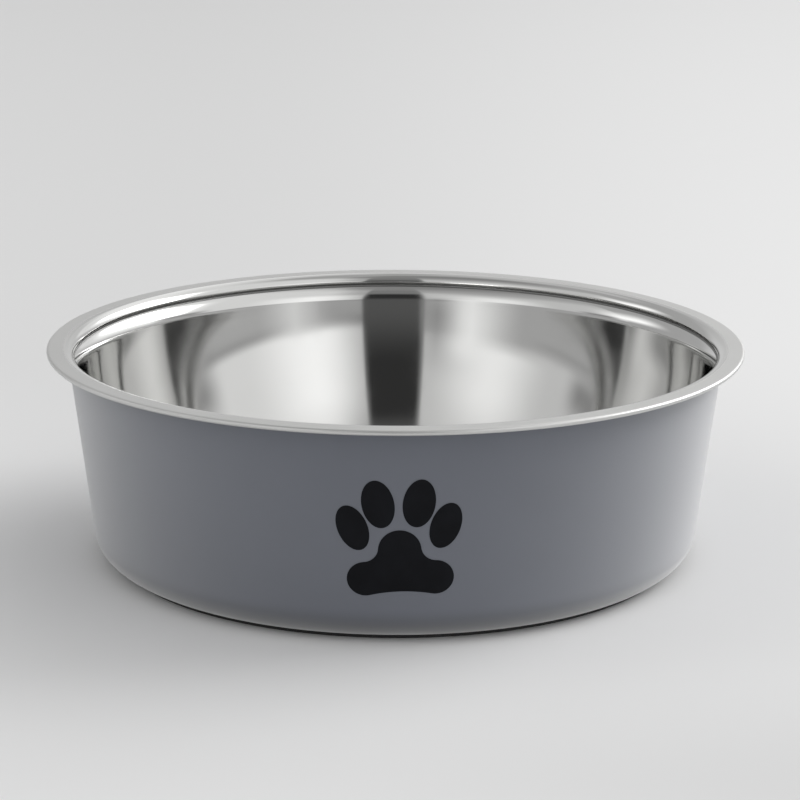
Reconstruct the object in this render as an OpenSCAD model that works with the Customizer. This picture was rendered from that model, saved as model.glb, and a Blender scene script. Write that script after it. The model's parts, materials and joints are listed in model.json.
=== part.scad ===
// Double-walled steel dog bowl. A polished liner is hemmed over the flange of a
// coated outer shell, and a black rubber ring is pushed into a channel in the base.
// The origin is the centre of the base at floor level, with +Z up and the printed
// paw on the -Y side.

/* [Overall] */
// Outside diameter of the brim
rim_d = 200; // [150:1:280]
// Height from the floor to the top of the brim
bowl_h = 61.5; // [52:0.5:90]
// How far the brim stands out from the coated wall, at the brim's top plane
overhang = 5.75; // [4.5:0.25:12]
// Lean of the coated wall from the vertical, in degrees
wall_draft = 6.8; // [4:0.1:9]

/* [Sheet metal] */
// Thickness of the liner's sheet
liner_t = 0.45; // [0.35:0.05:0.6]
// Thickness of the outer shell's sheet
shell_t = 0.45; // [0.35:0.05:0.6]
// Clearance between the sheets that are folded together
hem_gap = 0.05; // [0.03:0.01:0.1]

/* [Brim] */
// Clearance between the end of the fold and the shell's bend
hem_end_gap = 0.35; // [0.1:0.05:1.5]
// Width of the sealing compound inside the fold
seal_w = 0.95; // [0.6:0.05:1.4]
// Radius of the shell's bend under the brim, at the middle of the sheet
flange_bend = 2; // [1.6:0.1:2.4]

/* [Liner neck] */
// How far the foot of the neck lies inside the line of the coated wall
neck_inset = 2.25; // [1.9:0.05:3.5]
// Lean of the neck from the vertical, wider at its top, in degrees
neck_lean = 26; // [21:1:30]
// Radius over which the brim rolls into the neck
mouth_round = 3.3; // [2.8:0.1:3.6]
// Depth below the brim's top at which the neck ends
neck_drop = 2.6; // [2.4:0.1:3.2]
// Radius of the bend at the foot of the neck, at the middle of the sheet
neck_round = 0.5; // [0.4:0.05:0.9]
// Clearance between the locating bead and the shell's wall
bead_gap = 0.05; // [0.03:0.01:0.2]
// Lean of the bead's two flanks from the vertical, in degrees
bead_slope = 45; // [44:1:50]
// Radius of the bead's bend, at the middle of the sheet
bead_round = 0.6; // [0.5:0.05:0.9]
// Radius of the shoulder between the bead and the wall, on the food side
shoulder_round = 7.4; // [2:0.1:7.8]

/* [Liner wall and floor] */
// Air gap between the liner and the shell's wall, at the foot of the bead's ledge
air_gap = 1.8; // [1.8:0.1:3]
// Lean of the liner's wall from the vertical under the shoulder, in degrees
top_lean = 9; // [7:0.5:12]
// Lean of the liner's wall from the vertical above the floor's bend, in degrees
low_lean = 25; // [18:1:32]
// Length of the straight run between the bowed wall and the bend at each of its ends
wall_land = 1; // [0.5:0.5:5]
// Radius between the liner's wall and its floor, on the food side
floor_round = 14; // [4:0.5:20]
// Height of the liner's floor above the crown of the shell's channel
floor_gap = 0.3; // [0.2:0.1:1.5]

/* [Shell base] */
// Height at which the rubber ring holds the steel base off the floor
foot_stand = 1; // [0.8:0.1:2.5]
// Outside radius between the shell's wall and its base
corner_round = 7; // [4:0.5:9]
// Width of the flat land between the rounded corner and the channel's bend
base_land = 0.4; // [0.2:0.1:3]
// Width of the channel between its side walls
channel_w = 7; // [5.5:0.1:8]
// Depth of the channel above the base
channel_depth = 3.2; // [2.4:0.1:5]
// Radius of the channel's bends, at the middle of the sheet
channel_bend = 0.7; // [0.4:0.1:1]
// Width of the flat land inside the channel
inner_land = 3; // [2:0.5:8]
// Width of the slope from the inner land up to the raised middle
step_w = 3; // [2:0.5:8]
// How far the middle of the base is raised
panel_rise = 1.2; // [0.4:0.1:2]

/* [Foot ring] */
// Width of the ring's tread on the floor
tread_w = 10.5; // [9:0.5:12]
// How much further the tread reaches outwards than inwards from the channel
tread_shift = 0.75; // [0:0.05:1]
// Clearance between the tread and the steel base
tread_gap = 0.05; // [0.03:0.01:0.2]
// Clearance between each side of the tongue and the channel
tongue_side_gap = 0.35; // [0.25:0.05:0.45]
// Clearance between the tongue's top and the channel's crown
tongue_top_gap = 0.4; // [0.2:0.1:0.8]
// Clearance between the grip ridges and the channel
ridge_gap = 0.05; // [0.03:0.01:0.15]
// Height of each grip ridge on the tongue's sides
ridge_h = 0.9; // [0.7:0.1:1.1]
// Number of grooves moulded round the tread
tread_grooves = 2; // [1:1:3]
// Width of each groove in the tread
groove_w = 1.4; // [0.8:0.1:1.6]
// Depth of each groove in the tread
groove_depth = 0.4; // [0.2:0.05:0.5]
// Radius of the tread's outer edges
tread_round = 0.35; // [0.2:0.05:0.4]

/* [Paw print] */
// Height of the print's middle above the floor
paw_z = 26.5; // [24:0.5:30]
// Sideways distance of the print's middle from the front of the bowl
paw_shift = 0; // [-20:0.5:20]
// Tilt of the whole print, in degrees, right side up
paw_tilt = 1.6; // [-10:0.1:10]
// Thickness of the ink
ink_t = 0.15; // [0.08:0.01:0.3]
// Clearance between the ink and the coated wall
ink_gap = 0.1; // [0.08:0.01:0.2]

/* [Main pad of the paw] */
// Height of the crown's centre above the print's middle
crown_up = 0.5; // [0:0.1:1.5]
// Radius of the pad's crown
crown_r = 5.6; // [4.5:0.1:6.5]
// Distance of each lobe's centre below the print's middle
lobe_down = 7.4; // [7:0.1:9]
// Distance of each lobe's centre from the pad's axis
lobe_out = 9.1; // [8:0.1:10]
// Radius of each lobe
lobe_r = 4.75; // [4:0.05:5.2]
// Radius of the hollow flank between the crown and a lobe
flank_r = 4; // [3:0.1:6]
// Height of the shallow notch between the lobes
notch_h = 1.05; // [0.5:0.05:2]

/* [Toes of the paw] */
// Half length of an inner toe
inner_toe_long = 6.65; // [5:0.05:8]
// Half width of an inner toe
inner_toe_wide = 4.2; // [3:0.05:4.9]
// Clearance between the two inner toes
inner_toe_gap = 2; // [0.5:0.1:4]
// Height of the inner toes' lowest points above the pad's crown
inner_toe_rise = 0.7; // [0.2:0.1:3]
// Lean of an inner toe away from the axis, in degrees
inner_toe_lean = 10; // [5:1:14]
// Half length of an outer toe
outer_toe_long = 6.45; // [5:0.05:7.5]
// Half width of an outer toe
outer_toe_wide = 3.9; // [3:0.05:4.9]
// Clearance between an outer toe and the inner toe beside it
toe_gap = 0.5; // [0.3:0.1:3]
// How far the line from toe to toe across that clearance falls, in degrees
toe_fall = 28; // [22:1:34]
// How far an outer toe slides down beside the inner toe
outer_toe_slide = 2.6; // [0:0.1:4]
// Lean of an outer toe away from the axis, in degrees
outer_toe_lean = 20; // [15:1:24]

/* [Hidden] */
$fn = 180;

// Largest distance between a bend's true arc and its chords
chord_error = 0.008;
// Steps in each arc of the pad's outline, and round each toe
arc_steps = 12;
toe_steps = 40;

rim_r = rim_d / 2;
slope = tan(wall_draft);

// Length that a bend between a wall and a level sheet takes up, for a radius of 1
corner_share = tan((90 - wall_draft) / 2);

// Shell: its base, its flange and its channel, all at the middle of the sheet
base_z = foot_stand + shell_t / 2;
flange_z = bowl_h - liner_t - hem_gap - shell_t / 2;
flange_end = rim_r - liner_t - hem_gap - seal_w - hem_gap;
body_r = rim_r - overhang;
shell_top_r = body_r - shell_t / 2 / cos(wall_draft);
crown_z = base_z + channel_depth;
corner_bend = corner_round - shell_t / 2;
channel_out = shell_r(base_z) - corner_bend * corner_share - base_land - channel_bend;
channel_in = channel_out - channel_w - shell_t;
step_out = channel_in - channel_bend - inner_land;

// Liner: places at the middle of the sheet
brim_z = bowl_h - liner_t / 2;
edge_r = rim_r - liner_t / 2;
hem_z = brim_z - liner_t - shell_t - 2 * hem_gap;
hem_bend = (brim_z - hem_z) / 2;
hem_end = shell_r(flange_z) + flange_bend * corner_share + hem_end_gap;
neck_r = body_r - neck_inset + liner_t / 2;
neck_z = bowl_h - neck_drop;
mouth_r = neck_r + tan(neck_lean) * (brim_z - neck_z);
floor_z = crown_z + shell_t / 2 + floor_gap + liner_t / 2;

// The bead's corner lies beyond its rounded tip, and the tip bears on the shell's wall
ledge = tan(bead_slope);
bead_inset = (shell_t / 2 + bead_gap + liner_t / 2) / cos(wall_draft);
bead_tip = bead_round * (1 / cos(bead_slope) - 1);
bead_r = (shell_top_r - slope * neck_drop + slope / ledge * neck_r - bead_inset + bead_tip)
    / (1 + slope / ledge);
bead_z = neck_z - (bead_r - neck_r) / ledge;

// The ledge runs from the bead's corner down to the shoulder, which keeps the air gap
inset_top_r = shell_top_r - (shell_t / 2 + air_gap + liner_t / 2) / cos(wall_draft);
shoulder_z = (bead_r - inset_top_r - ledge * bead_z + slope * bowl_h) / (slope - ledge);
shoulder_r = inset_top_r - slope * (bowl_h - shoulder_z);

// The wall is one bow that fills the height between the shoulder's and the floor's bends
shoulder_reach = (shoulder_round - liner_t / 2) * tan((90 - bead_slope - top_lean) / 2);
floor_reach = (floor_round + liner_t / 2) * tan((90 - low_lean) / 2);
bow_h = shoulder_z - shoulder_reach * cos(top_lean) - floor_z - floor_reach * cos(low_lean);
bow_reach = bow_h / (cos(top_lean) + cos(low_lean)) - wall_land;
bow_round = bow_reach / tan((low_lean - top_lean) / 2);
bow_z = shoulder_z - (shoulder_reach + wall_land + bow_reach) * cos(top_lean);
bow_r = shoulder_r - tan(top_lean) * (shoulder_z - bow_z);
floor_r = bow_r - tan(low_lean) * (bow_z - floor_z);

// Foot ring: its tongue, its tread and its grooves
ring_r = (channel_in + channel_out) / 2;
tread_top = foot_stand - tread_gap;
tongue_top = foot_stand + channel_depth - tongue_top_gap;
tongue_half = channel_w / 2 - tongue_side_gap;
ridge_half = channel_w / 2 - ridge_gap;
tread_in = ring_r - tread_w / 2 + tread_shift;
tread_out = ring_r + tread_w / 2 + tread_shift;
land_w = (tread_w - tread_grooves * groove_w) / (tread_grooves + 1);

// Places of the toes' centres from the print's middle, for a toe on the right
inner_toe_place = [
    inner_toe_gap / 2 + toe_reach(inner_toe_long, inner_toe_wide, inner_toe_lean, 0),
    crown_up + crown_r + inner_toe_rise
        + toe_reach(inner_toe_long, inner_toe_wide, inner_toe_lean, 90)];
across_toes = turned([1, 0], -toe_fall);
outer_toe_place = inner_toe_place - left(across_toes) * outer_toe_slide
    + across_toes * (toe_gap
        + toe_reach(inner_toe_long, inner_toe_wide, inner_toe_lean, -toe_fall)
        + toe_reach(outer_toe_long, outer_toe_wide, outer_toe_lean, -toe_fall));

// How far a leaning toe reaches from its centre along a line at angle a
function toe_reach(long, wide, lean, a) = norm([long * sin(lean + a), wide * cos(lean + a)]);

// Radius of the middle of the shell's sheet at a height on its wall
function shell_r(z) = shell_top_r - slope * (bowl_h - z);

function unit(v) = v / norm(v);
function left(v) = [-v[1], v[0]];
function turned(v, a) = [v[0] * cos(a) - v[1] * sin(a), v[0] * sin(a) + v[1] * cos(a)];

// A bend of the given radius at b, as pairs of a point and the normal there
function bend(a, b, c, radius) =
    let (in = unit(b - a), out = unit(c - b))
    let (turn = atan2(cross(in, out), in * out), side = sign(turn))
    let (centre = b - in * radius * tan(abs(turn) / 2) + left(in) * radius * side)
    let (steps = ceil(abs(turn) / 2 / acos(1 - chord_error / radius)))
    [for (k = [0:steps])
        let (n = left(turned(in, turn * k / steps)))
        [centre - n * radius * side, n]];

// The middle line of a sheet through corners given as [r, z, bend radius]
function middle_line(v) =
    let (p = [for (q = v) [q[0], q[1]]], last = len(v) - 1)
    concat(
        [[p[0], left(unit(p[1] - p[0]))]],
        [for (i = [1:last - 1]) each bend(p[i - 1], p[i], p[i + 1], v[i][2])],
        [[p[last], left(unit(p[last] - p[last - 1]))]]);

// The closed section of a sheet of thickness t along its middle line
function sheet_section(v, t) =
    let (m = middle_line(v), last = len(m) - 1)
    concat(
        [for (q = m) q[0] + q[1] * t / 2],
        [for (i = [last:-1:0]) m[i][0] - m[i][1] * t / 2]);

// A closed outline with rounded corners given as [x, y, radius]
function rounded(v) =
    let (n = len(v), p = [for (q = v) [q[0], q[1]]])
    [for (i = [0:n - 1])
        each (v[i][2] == 0 ? [p[i]] :
            [for (q = bend(p[(i + n - 1) % n], p[i], p[(i + 1) % n], v[i][2])) q[0]])];

// Points on an arc about a centre from angle a to angle b
function arc(centre, r, a, b) =
    [for (k = [0:arc_steps]) let (t = a + (b - a) * k / arc_steps) centre + r * [cos(t), sin(t)]];

function heading(v) = atan2(v[1], v[0]);
function mirrored(v) = [for (i = [len(v) - 1:-1:0]) [-v[i][0], v[i][1]]];

// Sections of the liner and the shell, as corners of the sheet's middle line

liner_corners = [
    [0, floor_z, 0],
    [floor_r, floor_z, floor_round + liner_t / 2],
    [bow_r, bow_z, bow_round],
    [shoulder_r, shoulder_z, shoulder_round - liner_t / 2],
    [bead_r, bead_z, bead_round],
    [neck_r, neck_z, neck_round],
    [mouth_r, brim_z, mouth_round - liner_t / 2],
    [edge_r, brim_z, hem_bend],
    [edge_r, hem_z, hem_bend],
    [hem_end, hem_z, 0]];

shell_corners = [
    [0, base_z + panel_rise, 0],
    [step_out - step_w, base_z + panel_rise, channel_bend],
    [step_out, base_z, channel_bend],
    [channel_in, base_z, channel_bend],
    [channel_in, crown_z, channel_bend],
    [channel_out, crown_z, channel_bend],
    [channel_out, base_z, channel_bend],
    [shell_r(base_z), base_z, corner_bend],
    [shell_r(flange_z), flange_z, flange_bend],
    [flange_end, flange_z, 0]];

module inner_bowl() {
    color("silver")
        rotate_extrude()
            polygon(sheet_section(liner_corners, liner_t));
}

module outer_shell() {
    color("slategray")
        rotate_extrude()
            polygon(sheet_section(shell_corners, shell_t));
}

// The compound fills the fold between the flange's edge and the bend
module rim_seal() {
    cap_r = shell_t / 2;
    outer = rim_r - liner_t - hem_gap;
    color("dimgray")
        rotate_extrude()
            union() {
                translate([outer - seal_w, flange_z - cap_r])
                    square([seal_w - cap_r, shell_t]);
                translate([outer - cap_r, flange_z])
                    circle(cap_r);
            }
}

// Corners of the ring's section, anticlockwise from the tread's inner lower edge
function tread_floor() =
    [for (k = [0:tread_grooves - 1])
        let (x = tread_in + land_w + k * (land_w + groove_w))
        each [[x, 0, 0], [x, groove_depth, 0], [x + groove_w, groove_depth, 0], [x + groove_w, 0, 0]]];

module foot_ring() {
    ridge_low = tongue_top - ridge_h;
    lead = ridge_half - tongue_half;
    section = concat(
        [[tread_in, 0, tread_round]],
        tread_floor(),
        [[tread_out, 0, tread_round],
            [tread_out, tread_top, tread_round],
            [ring_r + tongue_half, tread_top, 0],
            [ring_r + tongue_half, ridge_low, 0],
            [ring_r + ridge_half, ridge_low + lead, 0],
            [ring_r + ridge_half, tongue_top - lead, 0],
            [ring_r + tongue_half, tongue_top, 0],
            [ring_r - tongue_half, tongue_top, 0],
            [ring_r - ridge_half, tongue_top - lead, 0],
            [ring_r - ridge_half, ridge_low + lead, 0],
            [ring_r - tongue_half, ridge_low, 0],
            [ring_r - tongue_half, tread_top, 0],
            [tread_in, tread_top, tread_round]]);
    color("black")
        rotate_extrude()
            polygon(rounded(section));
}

// A layer of ink on the front of the wall, cut to the outline that is passed to it
module print_on_wall() {
    reach = inner_toe_place[1] + inner_toe_long;
    z = [paw_z - reach, paw_z + reach];
    face = shell_t / 2 / cos(wall_draft);
    inner = [for (h = z) shell_r(h) + face + ink_gap / cos(wall_draft)];
    outer = [for (h = z) shell_r(h) + face + (ink_gap + ink_t) / cos(wall_draft)];
    color("black")
        intersection() {
            rotate_extrude()
                polygon([[inner[0], z[0]], [outer[0], z[0]], [outer[1], z[1]], [inner[1], z[1]]]);
            translate([paw_shift, 0, paw_z])
                rotate([90, 0, 0])
                    linear_extrude(rim_r)
                        rotate(paw_tilt)
                            children();
        }
}

// The pad's outline is a chain of tangent arcs, mirrored about its axis
module paw_pad() {
    crown = [0, crown_up];
    lobe = [lobe_out, -lobe_down];
    apart = norm(lobe - crown);
    reach = crown_r + flank_r;
    along = (reach * reach - pow(lobe_r + flank_r, 2) + apart * apart) / (2 * apart);
    across = sqrt(reach * reach - along * along);
    flank = crown + unit(lobe - crown) * along + left(unit(lobe - crown)) * across;
    notch_down = (lobe_out * lobe_out - notch_h * notch_h) / (2 * notch_h);
    notch = [0, -lobe_down - notch_down];
    half = concat(
        arc(crown, crown_r, 90, heading(flank - crown)),
        arc(flank, flank_r, heading(crown - flank) + 360, heading(lobe - flank) + 360),
        arc(lobe, lobe_r, heading(flank - lobe), heading(notch - lobe)),
        arc(notch, norm(lobe - notch) - lobe_r, heading(lobe - notch), 90));
    print_on_wall()
        polygon(concat(half, mirrored(half)));
}

// side is 1 for a toe on the right of the print and -1 for one on the left
module toe(side, place, long, wide, lean) {
    print_on_wall()
        translate([side * place[0], place[1]])
            rotate(-side * lean)
                polygon([for (k = [1:toe_steps])
                    [wide * cos(360 * k / toe_steps), long * sin(360 * k / toe_steps)]]);
}

module inner_toe(side) {
    toe(side, inner_toe_place, inner_toe_long, inner_toe_wide, inner_toe_lean);
}

module outer_toe(side) {
    toe(side, outer_toe_place, outer_toe_long, outer_toe_wide, outer_toe_lean);
}

inner_bowl();
outer_shell();
rim_seal();
foot_ring();
paw_pad();
outer_toe(-1);  // toe_outer_left
inner_toe(-1);  // toe_inner_left
inner_toe(1);  // toe_inner_right
outer_toe(1);  // toe_outer_right
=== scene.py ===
"""Dressed scene of a double-walled steel dog bowl with a printed paw and a rubber foot ring.

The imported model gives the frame: the origin is the centre of the base at floor level, +Z is up, and the
print is on the -Y side. Lengths are in metres and angles in degrees, unless a name says otherwise.
"""

import json
import logging
import math
from dataclasses import dataclass, field
from enum import Enum

import bpy
from mathutils import Matrix, Vector

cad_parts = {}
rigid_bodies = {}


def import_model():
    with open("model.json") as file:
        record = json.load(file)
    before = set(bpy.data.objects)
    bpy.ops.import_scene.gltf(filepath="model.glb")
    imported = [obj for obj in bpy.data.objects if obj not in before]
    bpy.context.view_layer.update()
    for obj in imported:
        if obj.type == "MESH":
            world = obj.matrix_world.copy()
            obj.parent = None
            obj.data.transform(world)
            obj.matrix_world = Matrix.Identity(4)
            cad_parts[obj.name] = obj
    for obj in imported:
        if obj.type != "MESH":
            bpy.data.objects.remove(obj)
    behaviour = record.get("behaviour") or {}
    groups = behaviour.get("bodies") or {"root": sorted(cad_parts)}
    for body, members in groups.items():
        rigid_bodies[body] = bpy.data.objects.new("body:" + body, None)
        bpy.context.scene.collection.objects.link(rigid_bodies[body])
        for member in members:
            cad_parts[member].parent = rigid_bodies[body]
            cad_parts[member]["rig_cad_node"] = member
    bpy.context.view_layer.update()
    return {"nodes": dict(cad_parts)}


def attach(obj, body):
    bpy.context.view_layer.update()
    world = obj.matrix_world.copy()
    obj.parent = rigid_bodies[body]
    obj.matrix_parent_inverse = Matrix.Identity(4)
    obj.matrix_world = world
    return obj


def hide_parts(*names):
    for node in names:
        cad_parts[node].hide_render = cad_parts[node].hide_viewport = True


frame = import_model()
MM = 0.001
HALF_TURN = 180.0
STEPS_ROUND = 240

log = logging.getLogger("dog_bowl")

Point = tuple[float, float]
Corner = tuple[float, float, float]
Span = tuple[float, float]
Colour = tuple[float, float, float]
Inputs = dict[str | int, object]
Node = bpy.types.Node
Socket = bpy.types.NodeSocket


class Body(Enum):
    """The two bodies of the model."""

    BOWL = "bowl"
    FOOT_RING = "foot_ring"


class Side(Enum):
    """The side of the print that a toe is on, seen from the front."""

    LEFT = -1
    RIGHT = 1


# Sizes that the pieces share


@dataclass(frozen=True)
class BowlSizes:
    """Sizes of the two steel sheets that more than one piece follows."""

    rim_d: float = 200 * MM
    bowl_h: float = 61.5 * MM
    overhang: float = 5.75 * MM
    wall_draft: float = 6.8
    liner_t: float = 0.45 * MM
    shell_t: float = 0.45 * MM
    hem_gap: float = 0.05 * MM
    flange_bend: float = 2 * MM
    foot_stand: float = 1 * MM
    channel_depth: float = 3.2 * MM

    @property
    def rim_r(self) -> float:
        """Radius of the brim's outside."""
        return self.rim_d / 2

    @property
    def slope(self) -> float:
        """Run of a wall outwards for each unit of height."""
        return math.tan(math.radians(self.wall_draft))

    @property
    def lean_cos(self) -> float:
        """Cosine of the walls' lean."""
        return math.cos(math.radians(self.wall_draft))

    @property
    def corner_share(self) -> float:
        """Length that a bend from wall to level takes up, for a radius of 1."""
        return math.tan(math.radians((90 - self.wall_draft) / 2))

    @property
    def body_r(self) -> float:
        """Radius of the coated wall's outside, carried up to the brim's top plane."""
        return self.rim_r - self.overhang

    @property
    def shell_top_r(self) -> float:
        """Radius of the shell's middle at the brim's top plane."""
        return self.body_r - self.shell_t / 2 / self.lean_cos

    @property
    def base_z(self) -> float:
        """Height of the shell's base at the middle of the sheet."""
        return self.foot_stand + self.shell_t / 2

    @property
    def crown_z(self) -> float:
        """Height of the channel's crown at the middle of the sheet."""
        return self.base_z + self.channel_depth

    @property
    def flange_z(self) -> float:
        """Height of the shell's flange at the middle of the sheet."""
        return self.bowl_h - self.liner_t - self.hem_gap - self.shell_t / 2

    def shell_r(self, z: float) -> float:
        """Radius of the shell's middle on the wall at a height.

        Args:
            z: Height above the floor.

        Returns:
            The radius at that height.
        """
        return self.shell_top_r - self.slope * (self.bowl_h - z)


# Outlines drawn with straight runs and bends


class Outline:
    """Points along straight runs and bends, in the plane of radius and height."""

    CHORD_ERROR = 0.0015 * MM
    LARGEST_ERROR_SHARE = 0.2
    FEWEST_STEPS = 3
    SUPPORT = 0.25 * MM
    LONG_RUN = 1 * MM

    @classmethod
    def bend(cls, before: Point, corner: Point, after: Point, radius: float) -> list[Point]:
        """Lists the points of a bend at a corner.

        Args:
            before: The corner before this one.
            corner: The corner that is rounded.
            after: The corner after this one.
            radius: Radius of the bend, or 0 for a sharp corner.

        Returns:
            The points from the bend's start to its end.
        """
        if radius <= 0:
            return [corner]
        b = Vector(corner)
        way_in = (b - Vector(before)).normalized()
        way_out = (Vector(after) - b).normalized()
        turn = math.atan2(way_in.x * way_out.y - way_in.y * way_out.x, way_in.dot(way_out))
        left = Vector((-way_in.y, way_in.x))
        side = math.copysign(1, turn)
        centre = b - way_in * radius * math.tan(abs(turn) / 2) + left * radius * side
        error = min(cls.LARGEST_ERROR_SHARE, cls.CHORD_ERROR / radius)
        steps = max(cls.FEWEST_STEPS, math.ceil(abs(turn) / 2 / math.acos(1 - error)))
        points = []
        for k in range(steps + 1):
            a = turn * k / steps
            cos_a, sin_a = math.cos(a), math.sin(a)
            normal = Vector((left.x * cos_a - left.y * sin_a, left.x * sin_a + left.y * cos_a))
            p = centre - normal * radius * side
            points.append((p.x, p.y))
        return points

    @classmethod
    def with_supports(cls, groups: list[list[Point]], closed: bool) -> list[Point]:
        """Joins bends and adds a point near each end of every long run, which keeps its shading flat.

        Args:
            groups: The points of each corner, in order.
            closed: Whether the last corner runs on to the first.

        Returns:
            All points in order.
        """
        points: list[Point] = []
        pairs = list(zip(groups, groups[1:] + ([groups[0]] if closed else [])))
        for here, there in pairs:
            points += here
            a, b = Vector(here[-1]), Vector(there[0])
            if (b - a).length > cls.LONG_RUN:
                step = (b - a).normalized() * cls.SUPPORT
                points += [tuple(a + step), tuple(b - step)]
        if not closed:
            points += groups[-1]
        return points

    @classmethod
    def open_line(cls, corners: list[Corner]) -> list[Point]:
        """Rounds the inner corners of an open line.

        Args:
            corners: Radius, height and bend radius of each corner.

        Returns:
            The line's points.
        """
        flat = [(c[0], c[1]) for c in corners]
        groups = [[flat[0]]]
        for i in range(1, len(corners) - 1):
            groups.append(cls.bend(flat[i - 1], flat[i], flat[i + 1], corners[i][2]))
        groups.append([flat[-1]])
        return cls.with_supports(groups, closed=False)

    @classmethod
    def closed_line(cls, corners: list[Corner]) -> list[Point]:
        """Rounds every corner of a closed outline.

        Args:
            corners: Radius, height and bend radius of each corner.

        Returns:
            The outline's points, without the first one again.
        """
        flat = [(c[0], c[1]) for c in corners]
        groups = []
        for i, corner in enumerate(corners):
            groups.append(cls.bend(flat[i - 1], flat[i], flat[(i + 1) % len(flat)], corner[2]))
        return cls.with_supports(groups, closed=True)


# Modelling with operators


class Workshop:
    """Modelling steps that several pieces share, each made with Blender's operators."""

    MERGE = 0.001 * MM

    @staticmethod
    def clear_selection() -> None:
        """Leaves edit mode and deselects every object."""
        if bpy.context.object and bpy.context.object.mode != "OBJECT":
            bpy.ops.object.mode_set(mode="OBJECT")
        bpy.ops.object.select_all(action="DESELECT")

    @classmethod
    def only(cls, piece: bpy.types.Object) -> None:
        """Makes a piece the one selected and active object.

        Args:
            piece: The object to work on.
        """
        cls.clear_selection()
        piece.select_set(True)
        bpy.context.view_layer.objects.active = piece

    @classmethod
    def drawn_line(cls, name: str, points: list[Point], closed: bool) -> bpy.types.Object:
        """Draws a line in the XZ plane by extruding one vertex from point to point.

        Args:
            name: Name of the new object.
            points: Radius and height of each point.
            closed: Whether the last point joins the first.

        Returns:
            The object, in edit mode with all of the line selected.
        """
        cls.clear_selection()
        bpy.ops.mesh.primitive_plane_add(size=MM, location=(0, 0, 0))
        piece = bpy.context.active_object
        piece.name = name
        piece.data.name = name
        bpy.ops.object.mode_set(mode="EDIT")
        bpy.ops.mesh.select_all(action="SELECT")
        bpy.ops.mesh.merge(type="CENTER")
        bpy.ops.transform.translate(value=(points[0][0], 0, points[0][1]))
        for a, b in zip(points, points[1:]):
            step = (b[0] - a[0], 0, b[1] - a[1])
            bpy.ops.mesh.extrude_vertices_move(TRANSFORM_OT_translate={"value": step})
        if closed:
            cls.pick_ends(piece, points)
            bpy.ops.mesh.edge_face_add()
        bpy.ops.mesh.select_all(action="SELECT")
        return piece

    @staticmethod
    def pick_ends(piece: bpy.types.Object, points: list[Point]) -> None:
        """Selects only the first and last points of a drawn line, in edit mode.

        Args:
            piece: The object that holds the line.
            points: The line's points.
        """
        bpy.ops.mesh.select_all(action="DESELECT")
        bpy.ops.object.mode_set(mode="OBJECT")
        for x, z in (points[0], points[-1]):
            near = min(piece.data.vertices, key=lambda v: (v.co - Vector((x, 0, z))).length)
            near.select = True
        bpy.ops.object.mode_set(mode="EDIT")

    @classmethod
    def spun(cls, name: str, points: list[Point], closed: bool = False) -> bpy.types.Object:
        """Spins a line round the bowl's axis into a surface without doubles.

        Args:
            name: Name of the new object.
            points: Radius and height of each point.
            closed: Whether the line is a closed outline.

        Returns:
            The surface, in object mode, with its normals made to agree.
        """
        piece = cls.drawn_line(name, points, closed)
        bpy.ops.mesh.spin(steps=STEPS_ROUND, angle=math.tau, center=(0, 0, 0), axis=(0, 0, 1))
        bpy.ops.mesh.select_all(action="SELECT")
        bpy.ops.mesh.remove_doubles(threshold=cls.MERGE)
        bpy.ops.mesh.normals_make_consistent(inside=False)
        bpy.ops.object.mode_set(mode="OBJECT")
        return piece

    @classmethod
    def thickened(cls, piece: bpy.types.Object, thickness: float, offset: float = 0) -> None:
        """Gives a surface its sheet thickness.

        Args:
            piece: The surface.
            thickness: Thickness of the sheet.
            offset: Side that the thickness goes to, from -1 to 1.
        """
        cls.only(piece)
        bpy.ops.object.modifier_add(type="SOLIDIFY")
        sheet = piece.modifiers[-1]
        sheet.thickness = thickness
        sheet.offset = offset
        sheet.use_even_offset = True
        bpy.ops.object.modifier_apply(modifier=sheet.name)

    @classmethod
    def smoothed(cls, piece: bpy.types.Object, angle: float = 32) -> None:
        """Shades a piece smooth up to an angle between faces.

        Args:
            piece: The piece.
            angle: Largest angle that still looks round.
        """
        cls.only(piece)
        bpy.ops.object.shade_smooth_by_angle(angle=math.radians(angle))
        cls.clear_selection()

    @classmethod
    def cut_with(cls, piece: bpy.types.Object, cutter: bpy.types.Object, operation: str) -> None:
        """Applies a boolean to a piece and removes its cutter.

        Args:
            piece: The piece that stays.
            cutter: The shape that cuts it.
            operation: INTERSECT, DIFFERENCE or UNION.
        """
        cls.only(piece)
        bpy.ops.object.modifier_add(type="BOOLEAN")
        cut = piece.modifiers[-1]
        cut.operation = operation
        cut.solver = "EXACT"
        cut.object = cutter
        bpy.ops.object.modifier_apply(modifier=cut.name)
        bpy.data.objects.remove(cutter)

    @staticmethod
    def dressed(piece: bpy.types.Object, material: bpy.types.Material, body: Body, slot: str) -> None:
        """Gives a piece its material and its body.

        Args:
            piece: The piece.
            material: The material that it shows.
            body: The body that it moves with.
            slot: Name of the record's slot; not used.
        """
        piece.data.materials.clear()
        piece.data.materials.append(material)
        if "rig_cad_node" not in piece:
            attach(piece, body.value)


# Node trees


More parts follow.
